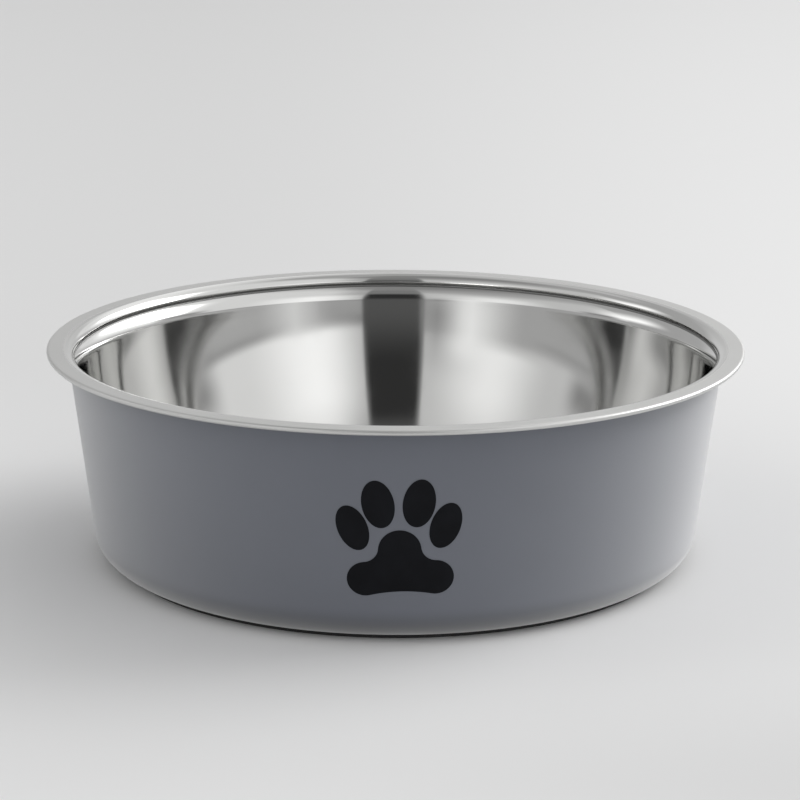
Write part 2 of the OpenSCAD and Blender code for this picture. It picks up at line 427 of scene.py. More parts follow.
class Graph:
    """A node tree with short calls that add nodes and wire them."""

    NODES_IN_ROW = 8
    COLUMN_W = 220
    ROW_H = 260

    def __init__(self, tree: bpy.types.NodeTree) -> None:
        """Starts on an emptied tree.

        Args:
            tree: The node tree that is filled.
        """
        self.tree = tree
        tree.nodes.clear()

    def add(self, kind: str, values: Inputs | None = None, **settings: object) -> Node:
        """Adds a node.

        Args:
            kind: Name of the node's type.
            values: What goes into its inputs, as sockets to link or as plain values.
            **settings: Its own properties.

        Returns:
            The new node.
        """
        node = self.tree.nodes.new(kind)
        row, column = divmod(len(self.tree.nodes), self.NODES_IN_ROW)
        node.location = (self.COLUMN_W * column, -self.ROW_H * row)
        for name, value in settings.items():
            setattr(node, name, value)
        for key, value in (values or {}).items():
            if isinstance(value, Socket):
                self.tree.links.new(value, node.inputs[key])
            else:
                node.inputs[key].default_value = value
        return node

    def math(self, operation: str, a: object, b: object = 0.0, c: object = 0.0) -> Socket:
        """Adds a math node.

        Args:
            operation: The node's operation.
            a: First value or socket.
            b: Second value or socket.
            c: Third value or socket.

        Returns:
            The node's result.
        """
        return self.add("ShaderNodeMath", {0: a, 1: b, 2: c}, operation=operation).outputs[0]

    def times(self, a: object, b: object) -> Socket:
        """Multiplies two values or sockets."""
        return self.math("MULTIPLY", a, b)

    def higher(self, a: object, b: object) -> Socket:
        """Takes the higher of two values or sockets."""
        return self.math("MAXIMUM", a, b)

    def mix(self, factor: object, a: object, b: object) -> Socket:
        """Mixes two numbers, by the share of the second."""
        return self.add("ShaderNodeMix", {0: factor, 2: a, 3: b}).outputs[0]

    def blend(self, factor: object, a: object, b: object) -> Socket:
        """Mixes two colours, by the share of the second."""
        return self.add("ShaderNodeMix", {0: factor, 6: a, 7: b}, data_type="RGBA").outputs[2]

    def ramp(self, value: Socket, low: float, high: float, start: object = 0, end: object = 1) -> Socket:
        """Adds a smooth change from one value to another.

        Args:
            value: What the change follows.
            low: Where it starts.
            high: Where it ends.
            start: Result at the start, a value or socket.
            end: Result at the end, a value or socket.

        Returns:
            The result.
        """
        inputs = {"Value": value, "From Min": low, "From Max": high, "To Min": start, "To Max": end}
        return self.add("ShaderNodeMapRange", inputs, interpolation_type="SMOOTHSTEP").outputs[0]

    def place(self) -> Socket:
        """Adds the place on the piece, in object coordinates."""
        return self.add("ShaderNodeTexCoord").outputs["Object"]

    def split(self, vector: Socket) -> bpy.types.NodeOutputs:
        """Splits a vector into its X, Y and Z."""
        return self.add("ShaderNodeSeparateXYZ", {0: vector}).outputs

    def flat(self, xyz: bpy.types.NodeOutputs) -> Socket:
        """Joins a place's X and Y again, without its height."""
        return self.add("ShaderNodeCombineXYZ", {0: xyz[0], 1: xyz[1]}).outputs[0]

    def length(self, vector: Socket) -> Socket:
        """Adds the length of a vector."""
        return self.add("ShaderNodeVectorMath", {0: vector}, operation="LENGTH").outputs["Value"]

    def noise(self, place: Socket, scale: Socket, detail: float) -> Socket:
        """Adds a noise texture of a scale and a number of finer layers."""
        values = {"Vector": place, "Scale": scale, "Detail": detail}
        return self.add("ShaderNodeTexNoise", values).outputs[0]

    def bump(self, height: Socket, distance: float) -> Socket:
        """Adds a bump whose full height is a real distance."""
        values = {"Strength": 1.0, "Distance": distance, "Height": height}
        return self.add("ShaderNodeBump", values).outputs[0]

    def grey(self, tone: Socket) -> Socket:
        """Makes a grey of one tone."""
        return self.add("ShaderNodeCombineColor", {0: tone, 1: tone, 2: tone}).outputs[0]


class SharedEffects:
    """Node groups that more than one finish uses, each built once."""

    LINE_VALUES = {"Lines per metre": 4000.0, "Unevenness": 1.0, "Patch size": 60.0}
    LINE_TURN = 1.5
    LINE_DETAIL = 3.0
    LINE_ROUGHNESS = 0.65
    FADED_LINES = 0.55
    PATCH_SPAN = (0.3, 0.7)
    PATCH_DETAIL = 2.0
    SKIN_VALUES = {"Grains per metre": 900.0, "Depth": 1.0, "Patch size": 30.0}
    COARSE_SHARE = 0.7
    COARSE_DETAIL = 2.0
    FINE_SCALE = 3.1
    FINE_SHARE = 0.3
    FINE_DETAIL = 1.0
    SLOW_DETAIL = 3.0
    NOISE_MIDDLE = 0.5

    def __init__(self) -> None:
        """Builds the groups."""
        self.turned_lines = self._turned_lines()
        self.fine_skin = self._fine_skin()

    @staticmethod
    def _group(
        name: str, inputs: dict[str, float]
    ) -> tuple[bpy.types.NodeTree, Graph, bpy.types.NodeOutputs]:
        """Starts a group that gives a height and a slow change over the surface.

        Args:
            name: Name of the group.
            inputs: Names and defaults of its inputs.

        Returns:
            The group, its graph and the sockets that its inputs arrive at.
        """
        tree = bpy.data.node_groups.new(name, "ShaderNodeTree")
        for label, default in inputs.items():
            entry = tree.interface.new_socket(name=label, in_out="INPUT", socket_type="NodeSocketFloat")
            entry.default_value = default
        for label in ("Height", "Change"):
            tree.interface.new_socket(name=label, in_out="OUTPUT", socket_type="NodeSocketFloat")
        graph = Graph(tree)
        return tree, graph, graph.add("NodeGroupInput").outputs

    @classmethod
    def _turned_lines(cls) -> bpy.types.NodeTree:
        """Fine lines that run round the bowl's axis, as a polishing wheel leaves them.

        Returns:
            The group, with a height and a slow brightness change.
        """
        tree, g, given = cls._group("turned_lines", cls.LINE_VALUES)
        place = g.place()
        xyz = g.split(place)
        flat = g.flat(xyz)
        round_the_axis = g.add("ShaderNodeVectorMath", {0: flat}, operation="NORMALIZE").outputs[0]
        along_values = {"Vector": round_the_axis, "Scale": cls.LINE_TURN}
        along = g.add("ShaderNodeVectorMath", along_values, operation="SCALE").outputs[0]
        lift = g.add("ShaderNodeCombineXYZ", {2: g.times(xyz[2], given["Lines per metre"])}).outputs[0]
        where = g.add("ShaderNodeVectorMath", {0: along, 1: lift}, operation="ADD").outputs[0]
        out = g.times(g.length(flat), given["Lines per metre"])
        line_values = {
            "Vector": where,
            "W": out,
            "Scale": 1.0,
            "Detail": cls.LINE_DETAIL,
            "Roughness": cls.LINE_ROUGHNESS,
        }
        lines = g.add("ShaderNodeTexNoise", line_values, noise_dimensions="4D").outputs[0]
        patches = g.noise(place, given["Patch size"], cls.PATCH_DETAIL)
        depth = g.ramp(patches, *cls.PATCH_SPAN, cls.FADED_LINES, 1.0)
        height = g.times(g.math("SUBTRACT", lines, cls.NOISE_MIDDLE), g.times(depth, given["Unevenness"]))
        g.add("NodeGroupOutput", {"Height": height, "Change": patches})
        return tree

    @classmethod
    def _fine_skin(cls) -> bpy.types.NodeTree:
        """The fine uneven skin of a sprayed, moulded or printed surface.

        Returns:
            The group, with a height and a slow change over the surface.
        """
        tree, g, given = cls._group("fine_skin", cls.SKIN_VALUES)
        place = g.place()
        coarse = g.noise(place, given["Grains per metre"], cls.COARSE_DETAIL)
        fine = g.noise(place, g.times(given["Grains per metre"], cls.FINE_SCALE), cls.FINE_DETAIL)
        both = g.math("ADD", g.times(coarse, cls.COARSE_SHARE), g.times(fine, cls.FINE_SHARE))
        height = g.times(g.math("SUBTRACT", both, cls.NOISE_MIDDLE), given["Depth"])
        slow = g.noise(place, given["Patch size"], cls.SLOW_DETAIL)
        g.add("NodeGroupOutput", {"Height": height, "Change": slow})
        return tree


# Finishes


@dataclass(frozen=True)
class Finish:
    """A surface finish: its colour and how it takes light."""

    name: str
    colour: Colour
    roughness: float
    metallic: float = 0.0

    def shade(self, share: float = 1.0) -> tuple[float, ...]:
        """Gives the colour times a share, with an alpha of 1."""
        return (*[c * share for c in self.colour], 1)

    def started(self) -> tuple[bpy.types.Material, Graph, Node]:
        """Starts the material.

        Returns:
            The material, its graph and its Principled shader.
        """
        material = bpy.data.materials.new(self.name)
        material.use_nodes = True
        material.diffuse_color = self.shade()
        g = Graph(material.node_tree)
        shader = g.add("ShaderNodeBsdfPrincipled", {
            "Base Color": self.shade(), "Roughness": self.roughness, "Metallic": self.metallic})
        g.add("ShaderNodeOutputMaterial", {"Surface": shader.outputs[0]})
        return material, g, shader

    @staticmethod
    def wire(g: Graph, shader: Node, **sources: Socket) -> None:
        """Links sockets to the shader's inputs.

        Args:
            g: The material's graph.
            shader: Its Principled shader.
            **sources: Source sockets under the inputs' names, with _ for a space.
        """
        for name, source in sources.items():
            g.tree.links.new(source, shader.inputs[name.replace("_", " ")])

    def material(self, effects: SharedEffects) -> bpy.types.Material:
        """Builds the material, which each finish does in its own way.

        Args:
            effects: The shared node groups.

        Returns:
            The finished material.
        """
        raise NotImplementedError(self.name)


@dataclass(frozen=True)
class PolishedSteel(Finish):
    """Stainless steel, polished inside the bowl and satin on the brim."""

    satin: float = 0.4
    satin_from_r: float = 94.9 * MM
    satin_fade: float = 0.8 * MM
    lines_per_m: float = 5200.0
    line_height: float = 0.0002 * MM
    smudge_span: Span = (0.35, 0.75)
    smudge_rough: float = 0.035
    dull_span: Span = (0.3, 0.8)
    dull_share: float = 0.35
    dull_shade: float = 0.93
    groove_r: float = 92.05 * MM
    groove_low: float = 57.2 * MM
    groove_high: float = 58.7 * MM
    # Share of the steel's colour kept in the groove: a painted shade for the shadow under the neck
    groove_painted_shade: float = 0.4
    groove_rough: float = 0.45
    hem_r: float = 99.1 * MM
    hem_rough: float = 0.35
    edge_fade: float = 0.2 * MM

    def groove(self, g: Graph, radius: Socket, height: Socket) -> Socket:
        """Masks the groove under the neck, where the polish is rougher and a painted shade darkens the
        steel.

        Args:
            g: The material's graph.
            radius: Distance from the bowl's axis.
            height: Height above the floor.

        Returns:
            1 in the groove and 0 outside it.
        """
        fade = self.edge_fade
        out = g.ramp(radius, self.groove_r, self.groove_r + fade)
        above = g.ramp(height, self.groove_low, self.groove_low + fade)
        below = g.ramp(height, self.groove_high, self.groove_high + fade, 1, 0)
        return g.times(out, g.times(above, below))

    def material(self, effects: SharedEffects) -> bpy.types.Material:
        """Builds the material.

        Args:
            effects: The shared node groups.

        Returns:
            The finished material.
        """
        material, g, shader = self.started()
        values = {"Lines per metre": self.lines_per_m}
        lines = g.add("ShaderNodeGroup", values, node_tree=effects.turned_lines).outputs
        xyz = g.split(g.place())
        radius = g.length(g.flat(xyz))
        groove = self.groove(g, radius, xyz[2])
        brim = g.ramp(radius, self.satin_from_r, self.satin_from_r + self.satin_fade)
        hem = g.ramp(radius, self.hem_r, self.hem_r + self.edge_fade, 0, self.hem_rough)
        smudges = g.ramp(lines["Change"], *self.smudge_span, 0.0, self.smudge_rough)
        rough = g.mix(brim, g.math("ADD", smudges, self.roughness), self.satin)
        rough = g.higher(rough, g.times(groove, self.groove_rough))
        rough = g.higher(rough, hem)
        dull = g.ramp(lines["Change"], *self.dull_span, 0.0, self.dull_share)
        tone = g.blend(dull, self.shade(), self.shade(self.dull_shade))
        # Painted shade: the groove's steel is darkened to stand in for the shadow under the neck
        tone = g.blend(groove, tone, self.shade(self.groove_painted_shade))
        bump = g.bump(lines["Height"], self.line_height)
        self.wire(g, shader, Base_Color=tone, Roughness=rough, Normal=bump)
        return material


@dataclass(frozen=True)
class SkinFinish(Finish):
    """A finish with a fine uneven skin, whose tone and roughness change slowly over the surface."""

    gloss: float = 0.5
    grains_per_m: float = 900.0
    patch_size: float = 30.0
    grain: float = 0.01 * MM
    tone_span: Span = (0.3, 0.7)
    tone_shades: Span = (1.0, 1.0)
    rough_span: Span = (0.3, 0.75)
    rough_change: Span = (0.0, 0.0)

    def skinned(self, g: Graph, shader: Node, effects: SharedEffects) -> tuple[Socket, Socket]:
        """Sets the shader's gloss and bump, and adds the slow change of tone.

        Args:
            g: The material's graph.
            shader: Its Principled shader.
            effects: The shared node groups.

        Returns:
            The tone, and the slow change over the surface that it follows.
        """
        shader.inputs["Specular IOR Level"].default_value = self.gloss
        values = {"Grains per metre": self.grains_per_m, "Patch size": self.patch_size}
        skin = g.add("ShaderNodeGroup", values, node_tree=effects.fine_skin).outputs
        self.wire(g, shader, Normal=g.bump(skin["Height"], self.grain))
        low, high = self.tone_shades
        tone = g.blend(g.ramp(skin["Change"], *self.tone_span), self.shade(low), self.shade(high))
        return tone, skin["Change"]

    def uneven(self, g: Graph, change: Socket) -> Socket:
        """Adds the slow change of roughness, which follows the same patches as the tone."""
        low, high = self.rough_change
        return g.ramp(change, *self.rough_span, self.roughness + low, self.roughness + high)


@dataclass(frozen=True)
class GreyCoating(SkinFinish):
    """Satin powder coating on the outside of the shell, duller and darkened by painted shade where its
    corner meets the floor.
    """

    gloss: float = 0.3
    grains_per_m: float = 1400.0
    grain: float = 0.004 * MM
    tone_shades: Span = (0.975, 1.025)
    rough_change: Span = (-0.02, 0.03)
    sheen: float = 1.0
    sheen_roughness: float = 0.6
    foot_low: float = 1.5 * MM
    foot_high: float = 10.5 * MM
    # Share of the coating's colour kept at the floor: a painted shade for the shadow round the base
    foot_painted_shade: float = 0.15
    foot_rough: float = 0.8

    def material(self, effects: SharedEffects) -> bpy.types.Material:
        """Builds the material.

        Args:
            effects: The shared node groups.

        Returns:
            The finished material.
        """
        material, g, shader = self.started()
        shader.inputs["Sheen Weight"].default_value = self.sheen
        shader.inputs["Sheen Roughness"].default_value = self.sheen_roughness
        tone, change = self.skinned(g, shader, effects)
        foot = g.ramp(g.split(g.place())[2], self.foot_low, self.foot_high, 1, 0)
        # Painted shade: the coating is darkened towards the floor to stand in for the shadow round the base
        tone = g.blend(foot, tone, self.shade(self.foot_painted_shade))
        rough = g.higher(self.uneven(g, change), g.times(foot, self.foot_rough))
        self.wire(g, shader, Base_Color=tone, Roughness=rough)
        return material


@dataclass(frozen=True)
class BlackInk(SkinFinish):
    """Dull black ink of the print."""

    gloss: float = 0.09
    grains_per_m: float = 2600.0
    patch_size: float = 140.0
    grain: float = 0.002 * MM
    tone_shades: Span = (0.85, 1.2)

    def material(self, effects: SharedEffects) -> bpy.types.Material:
        """Builds the material.

        Args:
            effects: The shared node groups.

        Returns:
            The finished material.
        """
        material, g, shader = self.started()
        tone, _ = self.skinned(g, shader, effects)
        self.wire(g, shader, Base_Color=tone)
        return material


@dataclass(frozen=True)
class MouldedRubber(SkinFinish):
    """Matt rubber of the foot ring and of the sealing compound."""

    grains_per_m: float = 2200.0
    patch_size: float = 90.0
    grain: float = 0.02 * MM
    tone_span: Span = (0.45, 0.8)
    tone_shades: Span = (1.0, 1.6)
    rough_change: Span = (-0.06, 0.06)

    def material(self, effects: SharedEffects) -> bpy.types.Material:
        """Builds the material.

        Args:
            effects: The shared node groups.

        Returns:
            The finished material.
        """
        material, g, shader = self.started()
        tone, change = self.skinned(g, shader, effects)
        self.wire(g, shader, Base_Color=tone, Roughness=self.uneven(g, change))
        return material


# Sub-assemblies


@dataclass
class Liner:
    """The polished steel bowl, with its brim, neck, bead and food well."""

    sizes: BowlSizes
    hem_end_gap: float = 0.35 * MM
    neck_inset: float = 2.25 * MM
    neck_lean: float = 26
    mouth_round: float = 3.3 * MM
    neck_drop: float = 2.6 * MM
    neck_round: float = 0.5 * MM
    bead_gap: float = 0.05 * MM
    bead_slope: float = 45
    bead_round: float = 0.6 * MM
    shoulder_round: float = 7.4 * MM
    air_gap: float = 1.8 * MM
    top_lean: float = 9
    low_lean: float = 25
    wall_land: float = 1 * MM
    floor_round: float = 14 * MM
    floor_gap: float = 0.3 * MM
    piece: bpy.types.Object | None = field(default=None, repr=False)

    def corners(self) -> list[Corner]:
        """Lists the corners of the sheet's middle line, from the floor's middle to the end of the hem.

        Returns:
            Radius, height and bend radius of each corner.
        """
        s = self.sizes
        t = s.liner_t
        brim_z = s.bowl_h - t / 2
        edge_r = s.rim_r - t / 2
        hem_z = brim_z - t - s.shell_t - 2 * s.hem_gap
        hem_bend = (brim_z - hem_z) / 2
        hem_end = s.shell_r(s.flange_z) + s.flange_bend * s.corner_share + self.hem_end_gap
        neck_r = s.body_r - self.neck_inset + t / 2
        neck_z = s.bowl_h - self.neck_drop
        mouth_r = neck_r + math.tan(math.radians(self.neck_lean)) * (brim_z - neck_z)
        ledge = math.tan(math.radians(self.bead_slope))
        bead_inset = (s.shell_t / 2 + self.bead_gap + t / 2) / s.lean_cos
        bead_tip = self.bead_round * (1 / math.cos(math.radians(self.bead_slope)) - 1)
        lean = s.slope / ledge
        wall_r = s.shell_top_r - s.slope * self.neck_drop
        bead_r = (wall_r + lean * neck_r - bead_inset + bead_tip) / (1 + lean)
        bead_z = neck_z - (bead_r - neck_r) / ledge
        return [
            *self.wall_corners((bead_r, bead_z)),
            (bead_r, bead_z, self.bead_round),
            (neck_r, neck_z, self.neck_round),
            (mouth_r, brim_z, self.mouth_round - t / 2),
            (edge_r, brim_z, hem_bend),
            (edge_r, hem_z, hem_bend),
            (hem_end, hem_z, 0),
        ]

    def wall_corners(self, bead: Point) -> list[Corner]:
        """Lists the corners of the floor, the bowed wall and the shoulder.

        The wall is one bow that fills the height between the shoulder's and the floor's bends.

        Args:
            bead: Radius and height of the bead's corner, from which the ledge runs down to the shoulder.

        Returns:
            Radius, height and bend radius of each corner.
        """
        s = self.sizes
        t = s.liner_t
        top, low = math.radians(self.top_lean), math.radians(self.low_lean)
        ledge = math.tan(math.radians(self.bead_slope))
        inset_r = s.shell_top_r - (s.shell_t / 2 + self.air_gap + t / 2) / s.lean_cos
        shoulder_z = (bead[0] - inset_r - ledge * bead[1] + s.slope * s.bowl_h) / (s.slope - ledge)
        shoulder_r = inset_r - s.slope * (s.bowl_h - shoulder_z)
        shoulder_bend, floor_bend = self.shoulder_round - t / 2, self.floor_round + t / 2
        shoulder_reach = shoulder_bend * math.tan((math.radians(90 - self.bead_slope) - top) / 2)
        floor_reach = floor_bend * math.tan((math.pi / 2 - low) / 2)
        floor_z = s.crown_z + s.shell_t / 2 + self.floor_gap + t / 2
        height = shoulder_z - shoulder_reach * math.cos(top) - floor_z - floor_reach * math.cos(low)
        reach = height / (math.cos(top) + math.cos(low)) - self.wall_land
        bow_z = shoulder_z - (shoulder_reach + self.wall_land + reach) * math.cos(top)
        bow_r = shoulder_r - math.tan(top) * (shoulder_z - bow_z)
        return [
            (0, floor_z, 0),
            (bow_r - math.tan(low) * (bow_z - floor_z), floor_z, floor_bend),
            (bow_r, bow_z, reach / math.tan((low - top) / 2)),
            (shoulder_r, shoulder_z, shoulder_bend),
        ]

    def build(self) -> list[bpy.types.Object]:
        """Spins and thickens the liner.

        Returns:
            The finished piece.
        """
        self.piece = Workshop.spun("polished_liner", Outline.open_line(self.corners()))
        Workshop.thickened(self.piece, self.sizes.liner_t)
        Workshop.smoothed(self.piece)
        return [self.piece]

    def dress(self, material: bpy.types.Material) -> None:
        """Puts the steel on the liner and hides the model's inner bowl, which it stands for.

        Args:
            material: The polished steel.
        """
        Workshop.dressed(self.piece, material, Body.BOWL, "polished_steel")
        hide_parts("inner_bowl")


@dataclass
class Shell:
    """The coated outer cup, with its flange, its rounded corner and the channel in its base."""

    sizes: BowlSizes
    seal_w: float = 0.95 * MM
    corner_round: float = 7 * MM
    base_land: float = 0.4 * MM
    channel_w: float = 7 * MM
    channel_bend: float = 0.7 * MM
    inner_land: float = 3 * MM
    step_w: float = 3 * MM
    panel_rise: float = 1.2 * MM
    piece: bpy.types.Object | None = field(default=None, repr=False)

    @property
    def corner_bend(self) -> float:
        """Radius of the corner at the middle of the sheet."""
        return self.corner_round - self.sizes.shell_t / 2

    @property
    def channel_out(self) -> float:
        """Radius of the channel's outer side at the middle of the sheet."""
        s = self.sizes
        return s.shell_r(s.base_z) - self.corner_bend * s.corner_share - self.base_land - self.channel_bend

    @property
    def channel_in(self) -> float:
        """Radius of the channel's inner side at the middle of the sheet."""
        return self.channel_out - self.channel_w - self.sizes.shell_t

    def corners(self) -> list[Corner]:
        """Lists the corners of the sheet's middle line, from the middle of the base to the flange's edge.

        Returns:
            Radius, height and bend radius of each corner.
        """
        s = self.sizes
        step_out = self.channel_in - self.channel_bend - self.inner_land
        flange_end = s.rim_r - s.liner_t - s.hem_gap - self.seal_w - s.hem_gap
        panel_z = s.base_z + self.panel_rise
        return [
            (0, panel_z, 0),
            (step_out - self.step_w, panel_z, self.channel_bend),
            (step_out, s.base_z, self.channel_bend),
            (self.channel_in, s.base_z, self.channel_bend),
            (self.channel_in, s.crown_z, self.channel_bend),
            (self.channel_out, s.crown_z, self.channel_bend),
            (self.channel_out, s.base_z, self.channel_bend),
            (s.shell_r(s.base_z), s.base_z, self.corner_bend),
            (s.shell_r(s.flange_z), s.flange_z, s.flange_bend),
            (flange_end, s.flange_z, 0),
        ]

    def build(self) -> list[bpy.types.Object]:
        """Spins and thickens the shell.

        Returns:
            The finished piece.
        """
        self.piece = Workshop.spun("coated_shell", Outline.open_line(self.corners()))
        Workshop.thickened(self.piece, self.sizes.shell_t)
        Workshop.smoothed(self.piece)
        return [self.piece]

    def dress(self, material: bpy.types.Material) -> None:
        """Puts the coating on the shell and hides the model's outer shell, which it stands for.

        Args:
            material: The grey coating.
        """
        Workshop.dressed(self.piece, material, Body.BOWL, "grey_coating")
        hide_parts("outer_shell")


@dataclass
class FootRing:
    """The rubber ring in the base channel, with its tongue, grip ridges and grooved tread."""

    sizes: BowlSizes
    shell: Shell
    tread_w: float = 10.5 * MM
    tread_shift: float = 0.75 * MM
    tread_gap: float = 0.05 * MM
    tongue_side_gap: float = 0.35 * MM
    tongue_top_gap: float = 0.4 * MM
    ridge_gap: float = 0.05 * MM
    ridge_h: float = 0.9 * MM
    tread_grooves: int = 2
    groove_w: float = 1.4 * MM
    groove_depth: float = 0.4 * MM
    tread_round: float = 0.35 * MM
    groove_round: float = 0.12 * MM
    piece: bpy.types.Object | None = field(default=None, repr=False)

    def corners(self) -> list[Corner]:
        """Lists the corners of the ring's section, anticlockwise from the tread's inner lower edge.

        Returns:
            Radius, height and bend radius of each corner.
        """
        s = self.sizes
        ring_r = (self.shell.channel_in + self.shell.channel_out) / 2
        top = s.foot_stand - self.tread_gap
        tongue_top = s.foot_stand + s.channel_depth - self.tongue_top_gap
        tongue = self.shell.channel_w / 2 - self.tongue_side_gap
        ridge = self.shell.channel_w / 2 - self.ridge_gap
        low = tongue_top - self.ridge_h
        lead = ridge - tongue
        inner = ring_r - self.tread_w / 2 + self.tread_shift
        outer = ring_r + self.tread_w / 2 + self.tread_shift
        land = (self.tread_w - self.tread_grooves * self.groove_w) / (self.tread_grooves + 1)
        edge, soft = self.tread_round, self.groove_round
        line: list[Corner] = [(inner, 0, edge)]
        for k in range(self.tread_grooves):
            x = inner + land + k * (land + self.groove_w)
            line += [(x, 0, soft), (x, self.groove_depth, soft)]
            line += [(x + self.groove_w, self.groove_depth, soft), (x + self.groove_w, 0, soft)]
        line += [(outer, 0, edge), (outer, top, edge)]
        for side in (1, -1):
            flank = [(tongue, top, soft), (tongue, low, 0), (ridge, low + lead, soft),
                     (ridge, tongue_top - lead, soft), (tongue, tongue_top, soft)]
            for x, z, r in flank if side == 1 else reversed(flank):
                line.append((ring_r + side * x, z, r))
        return line + [(inner, top, edge)]

    def build(self) -> list[bpy.types.Object]:
        """Spins the ring from its closed section.

        Returns:
            The finished piece.
        """
        self.piece = Workshop.spun("rubber_foot_ring", Outline.closed_line(self.corners()), closed=True)
        Workshop.smoothed(self.piece)
        return [self.piece]

    def dress(self, material: bpy.types.Material) -> None:
        """Puts the rubber on the ring and hides the model's foot ring, which it stands for.

        Args:
            material: The black rubber.
        """
        Workshop.dressed(self.piece, material, Body.FOOT_RING, "black_rubber")
        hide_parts("foot_ring")


@dataclass(frozen=True)
class ToeSizes:
    """Half length, half width and lean of one kind of toe."""

    long: float
    wide: float
    lean: float

    def reach(self, angle: float) -> float:
        """How far the toe reaches from its centre.

        Args:
            angle: Direction in degrees, anticlockwise from the right.

        Returns:
            The distance to the line that touches the toe there.
        """
        a = math.radians(self.lean + angle)
        return math.hypot(self.long * math.sin(a), self.wide * math.cos(a))


@dataclass
class PawPrint:
    """The printed paw: five thin areas of ink that follow the wall."""

    sizes: BowlSizes
    paw_z: float = 26.5 * MM
    tilt: float = 1.6
    ink_t: float = 0.04 * MM
    ink_gap: float = 0.02 * MM
    crown_up: float = 0.5 * MM
    crown_r: float = 5.6 * MM
    lobe_down: float = 7.4 * MM
    lobe_out: float = 9.1 * MM
    lobe_r: float = 4.75 * MM
    flank_r: float = 4 * MM
    notch_h: float = 1.05 * MM
    inner_toe: ToeSizes = ToeSizes(6.65 * MM, 4.2 * MM, 10)
    outer_toe: ToeSizes = ToeSizes(6.45 * MM, 3.9 * MM, 20)
    inner_toe_gap: float = 2 * MM
    inner_toe_rise: float = 0.7 * MM
    toe_gap: float = 0.5 * MM
    toe_fall: float = 28
    outer_toe_slide: float = 2.6 * MM
    layer_down: float = 16 * MM
    layer_up: float = 24 * MM
    arc_steps: int = 24
    toe_steps: int = 72
    pieces: dict[str, bpy.types.Object] = field(default_factory=dict, repr=False)

    def inner_place(self) -> Vector:
        """Centre of the right inner toe, from the print's middle."""
        up = self.crown_up + self.crown_r + self.inner_toe_rise + self.inner_toe.reach(90)
        return Vector((self.inner_toe_gap / 2 + self.inner_toe.reach(0), up))

    def outer_place(self) -> Vector:
        """Finds where the right outer toe goes, beside the inner one and lower.

        Returns:
            Its centre, from the print's middle.
        """
        a = math.radians(-self.toe_fall)
        across = Vector((math.cos(a), math.sin(a)))
        apart = self.toe_gap + self.inner_toe.reach(-self.toe_fall) + self.outer_toe.reach(-self.toe_fall)
        return self.inner_place() - Vector((-across.y, across.x)) * self.outer_toe_slide + across * apart

    def pad_outline(self) -> list[Point]:
        """Draws the main pad as a chain of tangent arcs.

        Returns:
            The outline's points, from the print's middle.
        """
        crown = Vector((0, self.crown_up))
        lobe = Vector((self.lobe_out, -self.lobe_down))
        apart = (lobe - crown).length
        reach = self.crown_r + self.flank_r
        along = (reach ** 2 - (self.lobe_r + self.flank_r) ** 2 + apart ** 2) / (2 * apart)
        across = math.sqrt(reach ** 2 - along ** 2)
        way = (lobe - crown).normalized()
        flank = crown + way * along + Vector((-way.y, way.x)) * across
        notch = Vector((0, -self.lobe_down - (self.lobe_out ** 2 - self.notch_h ** 2) / (2 * self.notch_h)))

        def heading(v: Vector) -> float:
            """Direction of a vector in radians."""
            return math.atan2(v.y, v.x)

        def arc(centre: Vector, r: float, a: float, b: float) -> list[Vector]:
            """Points on an arc from angle a to angle b, in radians."""
            ends = [a + (b - a) * k / self.arc_steps for k in range(self.arc_steps + 1)]
            return [centre + Vector((math.cos(t), math.sin(t))) * r for t in ends]

        half = arc(crown, self.crown_r, math.pi / 2, heading(flank - crown))
        start, stop = heading(crown - flank) + math.tau, heading(lobe - flank) + math.tau
        half += arc(flank, self.flank_r, start, stop)[1:]
        half += arc(lobe, self.lobe_r, heading(flank - lobe), heading(notch - lobe))[1:]
        half += arc(notch, (lobe - notch).length - self.lobe_r, heading(lobe - notch), math.pi / 2)[1:]
        right = [(p.x, p.y) for p in half]
        return right + [(-x, y) for x, y in reversed(right[1:-1])]

    def toe_outline(self, toe: ToeSizes, place: Vector, side: Side) -> list[Point]:
        """Draws a toe as a leaning ellipse.

        Args:
            toe: Its sizes.
            place: Centre of the toe on the right.
            side: The side that it is on.

        Returns:
            The outline's points, from the print's middle.
        """
        lean = math.radians(-side.value * toe.lean)
        cos_l, sin_l = math.cos(lean), math.sin(lean)
        points = []
        for k in range(self.toe_steps):
            a = math.tau * k / self.toe_steps
            x, y = toe.wide * math.cos(a), toe.long * math.sin(a)
            points.append((side.value * place.x + x * cos_l - y * sin_l, place.y + x * sin_l + y * cos_l))
        return points

    def layer(self, name: str) -> bpy.types.Object:
        """Spins a thin layer of ink round the wall, to be cut to an outline.

        Args:
            name: Name of the new object.

        Returns:
            The layer.
        """
        s = self.sizes
        stand_off = (s.shell_t / 2 + self.ink_gap + self.ink_t / 2) / s.lean_cos
        ends = [self.paw_z - self.layer_down, self.paw_z + self.layer_up]
        band = Workshop.spun(name, [(s.shell_r(z) + stand_off, z) for z in ends])
        Workshop.thickened(band, self.ink_t)
        return band

    def cutter(self, outline: list[Point]) -> bpy.types.Object:
        """Extrudes an outline into a bar through the front wall.

        Args:
            outline: The outline's points, from the print's middle.

        Returns:
            The bar.
        """
        tilt = math.radians(self.tilt)
        cos_t, sin_t = math.cos(tilt), math.sin(tilt)
        turned = [(x * cos_t - y * sin_t, x * sin_t + y * cos_t + self.paw_z) for x, y in outline]
        bar = Workshop.drawn_line("outline_bar", turned, closed=True)
        bpy.ops.mesh.edge_face_add()
        bpy.ops.transform.translate(value=(0, -self.sizes.rim_r, 0))
        bpy.ops.mesh.extrude_region_move(TRANSFORM_OT_translate={"value": (0, self.sizes.rim_r / 2, 0)})
        bpy.ops.mesh.select_all(action="SELECT")
        bpy.ops.mesh.normals_make_consistent(inside=False)
        bpy.ops.object.mode_set(mode="OBJECT")
        return bar

